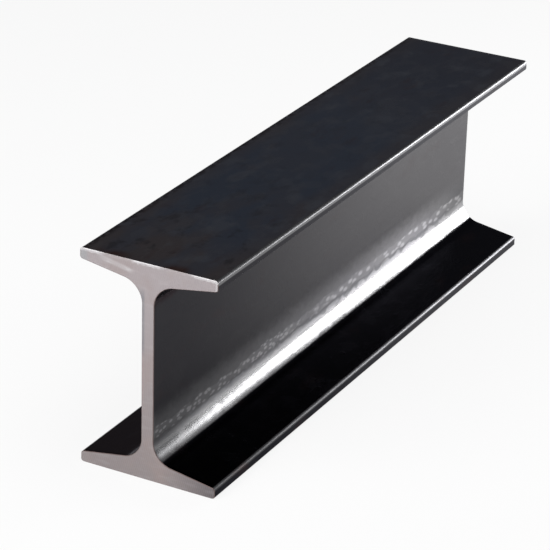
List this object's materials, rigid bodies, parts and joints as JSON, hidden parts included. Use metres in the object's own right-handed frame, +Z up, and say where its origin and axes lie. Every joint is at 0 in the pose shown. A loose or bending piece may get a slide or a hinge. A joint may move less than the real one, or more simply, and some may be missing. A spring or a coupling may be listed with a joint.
{
  "type": "steel i-beam",
  "caption": "Short straight length of hot-rolled steel beam: two wide tapered flanges joined by a thin web, with rounded roots and square sawn ends.",
  "frame": {"origin": "middle of the lower flange's outer face, on the floor that it lies on", "axes": "+Y along the beam's length, +X across the flanges, +Z up through the web from the lower flange to the upper one"},
  "size_m": [0.067, 0.312, 0.1016],
  "materials": {
    "mill_scale_steel": "dark hot-rolled mill scale, with bare grey steel on the sawn ends"
  },
  "bodies": {
    "root": {"beam": "mill_scale_steel"}
  },
  "joints": []
}
